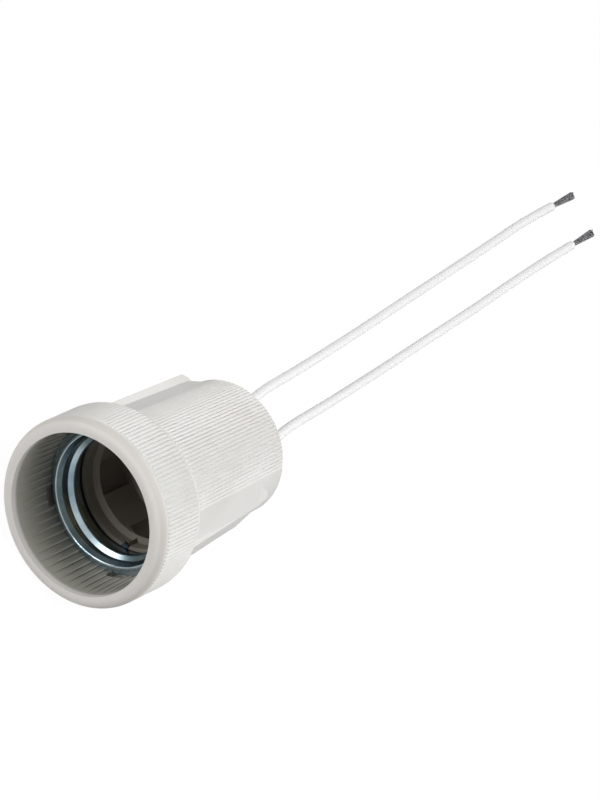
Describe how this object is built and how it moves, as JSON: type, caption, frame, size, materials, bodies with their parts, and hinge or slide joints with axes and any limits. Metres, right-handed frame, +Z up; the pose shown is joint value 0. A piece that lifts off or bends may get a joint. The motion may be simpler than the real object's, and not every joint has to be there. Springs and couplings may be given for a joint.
{
  "type": "lamp holder",
  "caption": "Porcelain lamp holder with a ribbed collar and barrel, side lugs, a rolled screw shell, a sprung centre contact and insulated leads with bare ends.",
  "frame": {"origin": "on the floor under the centre of the holder, measured without the leads", "axes": "+Y along the lamp axis from the open mouth to the rear face, +X across to the short lug, +Z up"},
  "size_m": [0.046, 0.239, 0.0396],
  "materials": {
    "porcelain": "matte",
    "plated_steel": "satin",
    "brass": "satin",
    "rivet_brass": "satin",
    "tinned_brass": "satin",
    "cement": "matte",
    "insulation": "satin",
    "tinned_strands": "satin"
  },
  "bodies": {
    "holder": {"porcelain_body": "porcelain", "screw_shell": "plated_steel", "shell_strap": "brass", "contact_rivet": "rivet_brass", "shell_rivet": "rivet_brass", "contact_terminal": "tinned_brass", "shell_terminal": "tinned_brass", "contact_seal": "cement", "shell_seal": "cement", "conductor_left": "tinned_strands", "conductor_right": "tinned_strands", "lead_left": "insulation", "lead_right": "insulation", "strands_left": "tinned_strands", "strands_right": "tinned_strands"},
    "contact": {"centre_contact": "brass"}
  },
  "joints": [
    {"name": "contact_press", "type": "hinge", "parent": "holder", "child": "contact", "pos_m": [-0.006, 0.00675, 0.0198], "axis": [0, 0, 1], "range_deg": [0, 6], "stiffness_Nm_per_rad": 0.15}
  ]
}
